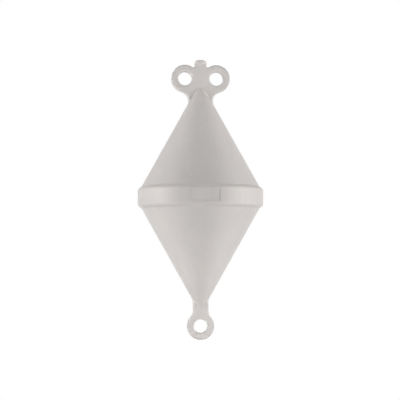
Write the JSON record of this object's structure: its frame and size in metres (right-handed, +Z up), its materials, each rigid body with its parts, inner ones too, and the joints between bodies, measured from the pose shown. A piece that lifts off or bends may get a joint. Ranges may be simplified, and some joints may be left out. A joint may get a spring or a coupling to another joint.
{
  "type": "biconical mooring buoy",
  "caption": "Pale grey moulded biconical mooring buoy with a banded waist, a flat head with mooring eyes and a filling boss, and a shank with a mooring eye.",
  "frame": {"origin": "centre of the bore of the lower mooring eye", "axes": "+Z up along the buoy's axis, all eyes bored along Y, the band's bare panel facing -Y"},
  "size_m": [0.32, 0.32, 0.7133],
  "materials": {
    "pale_grey_plastic": "satin, lightly grained"
  },
  "bodies": {
    "root": {"buoy_body": "pale_grey_plastic"}
  },
  "joints": []
}
